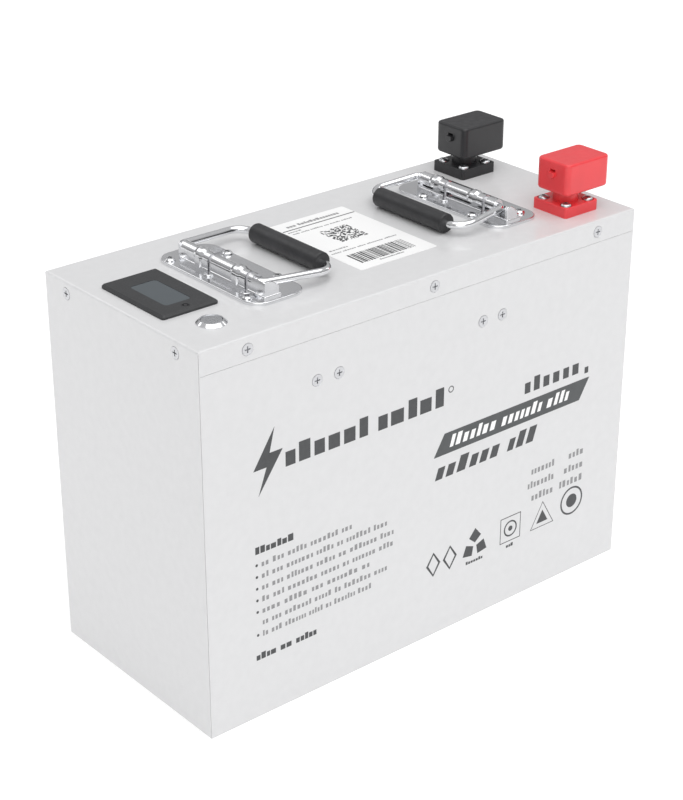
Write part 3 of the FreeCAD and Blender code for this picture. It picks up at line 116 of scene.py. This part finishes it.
BEZEL = finish("bezel_black", (0.034, 0.035, 0.037), 0.48, tint=0.08, tint_scale=150, rough_vary=0.06,
               rough_scale=900, grain=3500, grain_depth=0.00002)
RED = finish("red_moulding", (0.81, 0.044, 0.053), 0.34, tint=0.04, tint_scale=60, rough_vary=0.05,
             rough_scale=200, grain=900, grain_depth=0.00002, coat=0.3, Coat_Roughness=0.2)
BLACK = finish("black_moulding", (0.020, 0.020, 0.022), 0.36, tint=0.08, tint_scale=60, rough_vary=0.06,
               rough_scale=200, grain=900, grain_depth=0.00003)
BRASS = finish("turned_brass", (0.72, 0.5, 0.2), 0.25, metal=1, tint=0.08, grain=900, grain_depth=0.00002)
COPPER = finish("bare_copper", (0.72, 0.36, 0.22), 0.3, metal=1, tint=0.12, grain=700, grain_depth=0.00003)
ALUMINIUM = finish("mill_aluminium", (0.72, 0.73, 0.75), 0.38, metal=1, tint=0.05, stretch=(0.15, 1, 1))
WRAP = finish("cell_wrap", (0.035, 0.15, 0.42), 0.3, tint=0.1, grain=200, grain_depth=0.0001, coat=0.3)
FOAM = finish("cell_foam", (0.1, 0.1, 0.105), 0.9, tint=0.2, grain=1200, grain_depth=0.0003)
PAD = finish("pad_rubber", (0.04, 0.04, 0.04), 0.75, tint=0.2, grain=900, grain_depth=0.0001)
BOARD = finish("board_mask", (0.01, 0.13, 0.045), 0.3, tint=0.2, tint_scale=180, grain=500,
               grain_depth=0.00003)
SHEATH = finish("cable_sheath", (0.03, 0.03, 0.032), 0.5, tint=0.2, grain=600, grain_depth=0.00005)
VINYL = finish("label_vinyl", (0.94, 0.94, 0.938), 0.38, tint=0.01, tint_scale=40, grain=800,
               grain_depth=0.00001, coat=0.2, Coat_Roughness=0.25)
INK = finish("print_ink", (0.055, 0.057, 0.06), 0.42, tint=0.1, tint_scale=300, grain=900,
             grain_depth=0.00001)
INK_GREY = finish("print_ink_grey", (0.27, 0.27, 0.275), 0.42, tint=0.06, tint_scale=300, grain=900,
                  grain_depth=0.00001)
BAND = finish("print_band", (0.07, 0.075, 0.078), 0.4, tint=0.08, tint_scale=80, grain=600,
              grain_depth=0.00001)
PLUNGER = finish("plunger_steel", (0.62, 0.63, 0.65), 0.3, metal=1, tint=0.03, tint_scale=400,
                 rough_scale=900, grain=2500, grain_depth=0.00001)
KEY = finish("key_rubber", (0.03, 0.03, 0.033), 0.5, tint=0.1, tint_scale=600, grain=3000,
             grain_depth=0.00001)
KEY_MARK = finish("key_mark", (0.006, 0.006, 0.007), 0.8, tint=0.05, grain=900, grain_depth=0.000005,
                  Specular_IOR_Level=0.15)
LCD = finish("display_film", (0.10, 0.118, 0.13), 0.32, tint=0.06, tint_scale=120, grain=4000,
             grain_depth=0.000005)
GLASS = finish("window_glass", (0.094, 0.110, 0.121), 0.3, tint=0.02, rough_vary=0.03, grain=60,
               grain_depth=0.00001, Alpha=0.88, IOR=1.49)
CLEAR = finish("clear_sheet", (0.85, 0.9, 0.92), 0.15, tint=0.02, rough_vary=0.03, grain=80,
               grain_depth=0.00005, Transmission_Weight=0.9, IOR=1.45)

BY_SLOT = {
    "case_paint": POWDER, "zinc": ZINC, "chrome": CHROME, "satin_steel": SATIN, "grip_rubber": RUBBER,
    "meter_plastic": BEZEL, "meter_glass": GLASS, "lcd": LCD, "key_rubber": KEY, "red_plastic": RED,
    "black_plastic": BLACK, "brass": BRASS, "copper": COPPER, "label": VINYL, "cell_wrap": WRAP,
    "foam": FOAM, "pad_rubber": PAD, "aluminium": ALUMINIUM,
    "clear_sheet": CLEAR, "board": BOARD, "cable": SHEATH,
}
BY_NODE = {"left_hinge": PRESSED, "right_hinge": PRESSED, "left_springs": SPRING, "right_springs": SPRING,
           "button_plunger": PLUNGER}
for entry in frame["record"]["subparts"]:
    mesh = nodes[entry["node"]]
    chosen = BY_NODE.get(entry["node"], BY_SLOT[entry["material_slot"]])
    if not mesh.material_slots:
        mesh.data.materials.append(None)
    for held in mesh.material_slots:
        held.link = "OBJECT"
        held.material = chosen


# ---------------------------------------------------------------- printed graphics
# Every mark is a polygon of (u, v) pairs in mm. On the front panel u runs along X from the middle of the
# case and v up from its foot; on the label they run along X and Y from the middle of the lid.

def bar(u0, v0, u1, v1):
    return [(u0, v0), (u1, v0), (u1, v1), (u0, v1)]


def disc(u, v, radius, count=28):
    return [(u + radius * math.cos(2 * math.pi * k / count), v + radius * math.sin(2 * math.pi * k / count))
            for k in range(count)]


def ring(u, v, outer, inner, count=40):
    """A ring as a row of quads."""
    turn = [2 * math.pi * k / count for k in range(count + 1)]
    spot = [(math.cos(a), math.sin(a)) for a in turn]
    return [[(u + inner * a[0], v + inner * a[1]), (u + outer * a[0], v + outer * a[1]),
             (u + outer * b[0], v + outer * b[1]), (u + inner * b[0], v + inner * b[1])]
            for a, b in zip(spot, spot[1:])]


def frame_of(points, width):
    """Outline of a convex polygon, drawn inwards with the given line width."""
    count = len(points)
    centre = (sum(p[0] for p in points) / count, sum(p[1] for p in points) / count)
    quads = []
    for a, b in zip(points, points[1:] + points[:1]):
        def pull(p):
            du, dv = centre[0] - p[0], centre[1] - p[1]
            size = math.hypot(du, dv)
            return p[0] + du / size * width * 1.5, p[1] + dv / size * width * 1.5
        quads.append([a, b, pull(b), pull(a)])
    return quads


def printed(name, shapes, to_world, material, body, thick=FILM):
    """Thin ink shapes: each polygon becomes a closed film of the given thickness in mm."""
    mesh = bmesh.new()
    for points in shapes:
        base = [mesh.verts.new(to_world(u, v, 0)) for u, v in points]
        top = [mesh.verts.new(to_world(u, v, thick)) for u, v in points]
        mesh.faces.new(top)
        mesh.faces.new(base[::-1])
        for k in range(len(points)):
            j = (k + 1) % len(points)
            mesh.faces.new((base[k], base[j], top[j], top[k]))
    bmesh.ops.recalc_face_normals(mesh, faces=mesh.faces)
    data = bpy.data.meshes.new(name)
    mesh.to_mesh(data)
    piece = bpy.data.objects.new(name, data)
    bpy.context.scene.collection.objects.link(piece)
    data.materials.append(material)
    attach(piece, body)
    return piece


def on_front(u, v, lift):
    return Vector((u * MM, FRONT_Y - (lift + FILM_GAP) * MM, v * MM))


def on_band(u, v, lift):
    """On the front panel, on top of a film that is already there."""
    return on_front(u, v, lift + FILM)


def on_label(u, v, lift):
    return Vector((u * MM, v * MM, LABEL_TOP + (lift + FILM_GAP) * MM))


def on_key(u, v, lift):
    middle_x, middle_y = (KEY_LOW[0] + KEY_HIGH[0]) / 2, (KEY_LOW[1] + KEY_HIGH[1]) / 2
    return Vector((middle_x + u * MM, middle_y + v * MM, KEY_HIGH[2] + (lift + FILM_GAP) * MM))


def blocks(start, end, base, height, seed, slant=0.0, words=(5,), narrow=0.62, fill=0.8):
    """A row of plain marks in word-sized runs between two ends, standing in for a line of print."""
    chance = random.Random(seed)
    runs = []
    for count in words:
        runs += [chance.uniform(0.72, 1.15) for _ in range(count)] + [None]
    runs.pop()
    total = sum(narrow if w is None else w for w in runs)
    unit = (end - start) / total
    shapes, u = [], start
    for w in runs:
        if w is None:
            u += narrow * unit
            continue
        top = base + height * chance.choice((0.74, 0.74, 0.74, 1.0))
        shapes.append([(a + (b - base) * slant, b) for a, b in bar(u, base, u + w * unit * fill, top)])
        u += w * unit
    return shapes


ink, grey = [], []
# emblem: a plain bolt
ink.append([(-127.5, 200.5), (-144.0, 175.0), (-134.0, 175.0), (-140.5, 157.0), (-121.5, 184.0),
            (-131.5, 184.0)])
# two tall words and a small ring after them
NAME_BASE, NAME_HEIGHT = 170.5, 13.4
ink += blocks(-119.5, -51.6, NAME_BASE, NAME_HEIGHT, 3, words=(6,), fill=0.74)
ink += blocks(-45.7, 12.4, NAME_BASE, NAME_HEIGHT, 8, words=(5,), fill=0.74)
ink += ring(16.0, 180.5, 2.4, 1.7, 20)
# above the band: a word and a small mark; below it: a slanted line
ink += blocks(83.5, 138.5, 155.8, 10.6, 5, words=(6,), fill=0.62)
ink += blocks(141.0, 145.6, 153.6, 6.4, 6, words=(1,))
ink += blocks(3.7, 96.5, 117.6, 11.6, 11, slant=0.33, words=(6, 3), fill=0.68)
# the slanted band and the light marks on it
band = [[(2.2, 134.7), (137.1, 134.7), (146.2, 150.0), (11.3, 150.0)]]
band_marks = blocks(16.0, 127.0, 138.6, 8.6, 21, slant=0.3, words=(7, 7, 4), fill=0.62)
# three short rows at the right, each in two columns
TABLE_TOP, TABLE_STEP, TABLE_MARK, TABLE_SPLIT, TABLE_RIGHT = 91.4, 10.4, 5.2, 117.0, 146.2
for row, (start, left_count, right_count) in enumerate(((93.8, 7, 4), (90.8, 8, 5), (95.0, 6, 6))):
    level = TABLE_TOP - TABLE_STEP * row
    grey += blocks(start, TABLE_SPLIT, level, TABLE_MARK, 31 + row, words=(left_count,), fill=0.6)
    grey += blocks(TABLE_RIGHT - 4.0 * right_count, TABLE_RIGHT, level, TABLE_MARK, 41 + row,
                   words=(right_count,), fill=0.6)
# row of plain shapes: two diamonds
DIAMOND_HALF_WIDTH, DIAMOND_LOW, DIAMOND_HIGH, DIAMOND_MIDDLE = 6.4, 45.2, 64.0, 54.6
for middle in (4.0, 19.0):
    ink += frame_of([(middle - DIAMOND_HALF_WIDTH, DIAMOND_MIDDLE), (middle, DIAMOND_LOW),
                     (middle + DIAMOND_HALF_WIDTH, DIAMOND_MIDDLE), (middle, DIAMOND_HIGH)], 1.3)
# three slabs in a ring, with small marks below
SLABS_U, SLABS_V, SLABS_RADIUS, SLAB_RADIUS = 42.0, 56.0, 7.2, 5.6
for k in range(3):
    a = math.radians(90 + 120 * k)
    hub = (SLABS_U + SLABS_RADIUS * math.cos(a), SLABS_V + SLABS_RADIUS * math.sin(a))
    ink.append([(hub[0] + SLAB_RADIUS * math.cos(a + math.radians(t)),
                 hub[1] + SLAB_RADIUS * math.sin(a + math.radians(t))) for t in (0, 100, 180, 260)])
ink += blocks(34.0, 50.0, 42.6, 2.4, 47, words=(7,))
# a ring with a dot in a frame, a triangle in a triangle, and a large ring with a dot
ink += frame_of(bar(65.8, 46.4, 85.2, 66.2), 0.6) + ring(75.5, 56.3, 6.2, 5.0) + [disc(75.5, 56.3, 2.0)]
ink += blocks(72.0, 79.0, 41.8, 2.6, 48, words=(3,))
triangle = [(95.0, 46.6), (118.0, 46.6), (106.4, 66.6)]
ink += frame_of(triangle, 0.7) + [[(101.0, 50.2), (112.0, 50.2), (106.4, 59.8)]]
ink += ring(135.4, 56.8, 11.0, 9.6) + [disc(135.4, 56.8, 5.2)]
# block of small rows at the left: a heading, the list with its dots, and a last line
ink += blocks(-143.8, -113.2, 118.0, 5.0, 51, words=(7,))
LIST_ENDS = (-66, -36.5, -30.8, -31, -51, -36, -49.6)
LIST_TOP, LIST_STEP, CONTINUED_ROW = 109.6, 8.35, 5
for row, end in enumerate(LIST_ENDS):
    level = LIST_TOP - LIST_STEP * row
    runs = {-66: (2, 3, 5, 7, 3), -51: (4, 5, 3, 7, 2)}.get(end, (2, 3, 7, 5, 2, 7, 4))
    grey += blocks(-139.2, end, level - 1.2, 4.0, 61 + row, words=runs, fill=0.6)
    if row != CONTINUED_ROW:
        ink.append(disc(-143.0, level + 0.8, 1.0, 12))
ink += blocks(-144.6, -95.8, 42.0, 4.8, 71, words=(4, 2, 5))

printed("front_print", ink, on_front, INK, "battery")
printed("front_small_print", grey, on_front, INK_GREY, "battery")
printed("front_band", band, on_front, BAND, "battery")
printed("front_band_marks", band_marks, on_band, VINYL, "battery")

# label: a rule, a patch of random cells, a row of bars and lines of small marks
chance = random.Random(5)
marks = [bar(-28.0, 35.2, 32.6, 36.3)]
PATCH_SIZE, PATCH_CELLS, PATCH_FILL, PATCH_CORNER = 23.2, 21, 0.52, (-10.2, -1.7)
cell = PATCH_SIZE / PATCH_CELLS
for i in range(PATCH_CELLS):
    for j in range(PATCH_CELLS):
        if chance.random() < PATCH_FILL:
            u, v = PATCH_CORNER[0] + i * cell, PATCH_CORNER[1] + j * cell
            marks.append(bar(u, v, u + cell, v + cell))
BARS_LEFT, BARS_RIGHT, BARS_LOW, BARS_HIGH, NARROWEST_BAR = -22.6, 22.4, -37.2, -21.4, 0.4
u = BARS_LEFT
while u < BARS_RIGHT - NARROWEST_BAR:
    wide = chance.choice((0.55, 0.55, 0.9, 1.5))
    marks.append(bar(u, BARS_LOW, min(u + wide, BARS_RIGHT), BARS_HIGH))
    u += wide + chance.choice((0.45, 0.7, 1.0))
rows = blocks(-20.9, 23.2, 39.4, 3.4, 81, words=(3, 14))
rows += blocks(-26.6, -15.5, 31.6, 1.5, 82, words=(5,))
rows += blocks(-25.5, 24.5, 27.9, 1.6, 83, words=(4, 5, 7, 3, 6, 6))
rows += blocks(-26.4, -11.0, -10.2, 1.5, 84, words=(7,))
rows += blocks(-28.5, 26.0, -14.9, 1.6, 85, words=(5, 6, 4, 8, 6))
rows += blocks(-10.1, 10.1, -40.4, 1.6, 86, words=(14,))
printed("label_marks", marks, on_label, INK, "battery", thick=LABEL_FILM)
printed("label_rows", rows, on_label, INK_GREY, "battery", thick=LABEL_FILM)

# the circle on the meter's key
printed("key_circle", ring(0, 0, 1.8, 1.3, 32), on_key, KEY_MARK, "key", thick=LABEL_FILM)


# ---------------------------------------------------------------- studio

def plane(name, width, depth, matrix, material):
    """A flat piece of the studio, which isn't part of the object."""
    mesh = bmesh.new()
    bmesh.ops.create_grid(mesh, x_segments=8, y_segments=8, size=0.5)
    data = bpy.data.meshes.new(name)
    mesh.to_mesh(data)
    obj = bpy.data.objects.new(name, data)
    obj.matrix_world = matrix @ Matrix.Diagonal((width, depth, 1, 1))
    bpy.context.scene.collection.objects.link(obj)
    data.materials.append(material)
    return obj


FLOOR = finish("floor_white", (0.6, 0.6, 0.6), 0.8, tint=0.01, grain=60, grain_depth=0.0001,
               Emission_Color=(1, 1, 1, 1), Emission_Strength=0.5, Specular_IOR_Level=0.2)
FLOOR_SIZE, FLOOR_DROP = 40, 0.0004          # wide enough to fill low views, just below the case
plane("floor", FLOOR_SIZE, FLOOR_SIZE, Matrix.Translation((0, 0, -FLOOR_DROP)), FLOOR)

# surroundings: dark just above the floor, lighter higher up
world = bpy.data.worlds.new("studio")
bpy.context.scene.world = world
world.use_nodes = True
sky = world.node_tree
direction = sky.nodes.new("ShaderNodeTexCoord")
parts = sky.nodes.new("ShaderNodeSeparateXYZ")
walls = sky.nodes.new("ShaderNodeValToRGB")
walls.color_ramp.elements[0].position, walls.color_ramp.elements[0].color = 0.02, (0.16, 0.16, 0.165, 1)
walls.color_ramp.elements[1].position, walls.color_ramp.elements[1].color = 1.0, (0.55, 0.55, 0.55, 1)
for spot, level in ((0.2, 0.3), (0.38, 0.48), (0.6, 0.5)):
    walls.color_ramp.elements.new(spot).color = (level, level, level * 1.01, 1)
sky.links.new(direction.outputs["Generated"], parts.inputs["Vector"])
sky.links.new(parts.outputs["Z"], walls.inputs["Fac"])
sky.links.new(walls.outputs["Color"], sky.nodes["Background"].inputs["Color"])
sky.nodes["Background"].inputs["Strength"].default_value = 1.0


# lights: two wide suns, and two strips for the bright streaks on the plated parts
LIGHTS_LOOK_AT = Vector((0, 0, 0.2))


def aimed(name, kind, place, energy):
    """A light that stands at a place and points at the upper part of the case."""
    light = bpy.data.lights.new(name, kind)
    light.energy = energy
    lamp = bpy.data.objects.new(name, light)
    lamp.location = place
    lamp.rotation_euler = (LIGHTS_LOOK_AT - Vector(place)).to_track_quat("-Z", "Y").to_euler()
    bpy.context.scene.collection.objects.link(lamp)
    return light


overhead = aimed("overhead", "SUN", (0.1, -0.5, 2.2), 1.68)
overhead.angle = math.radians(75)
side = aimed("side", "SUN", (-1.4, -1.6, 1.1), 0.62)
side.angle = math.radians(50)
for name, spot, size, energy in (("back_strip", (-0.45, 1.7, 1.6), (1.3, 0.4), 2.6),
                                 ("right_strip", (1.9, -0.2, 1.0), (0.3, 1.0), 1.5)):
    box_light = aimed(name, "AREA", spot, energy)
    box_light.shape, box_light.size, box_light.size_y = "RECTANGLE", size[0], size[1]

EYE_PLACE, EYE_AZIMUTH, EYE_ELEVATION = (-0.7562, -0.8911, 0.7179), -40, 26
LENS, SENSOR = 87.2, 36
scene = bpy.context.scene
scene.view_settings.view_transform = "Standard"
scene.view_settings.look = "None"
camera = bpy.data.cameras.new("camera")
camera.lens, camera.sensor_width = LENS, SENSOR
eye = bpy.data.objects.new("camera", camera)
eye.location = EYE_PLACE
eye.rotation_euler = (math.radians(90 - EYE_ELEVATION), 0, math.radians(EYE_AZIMUTH))
scene.collection.objects.link(eye)
scene.camera = eye
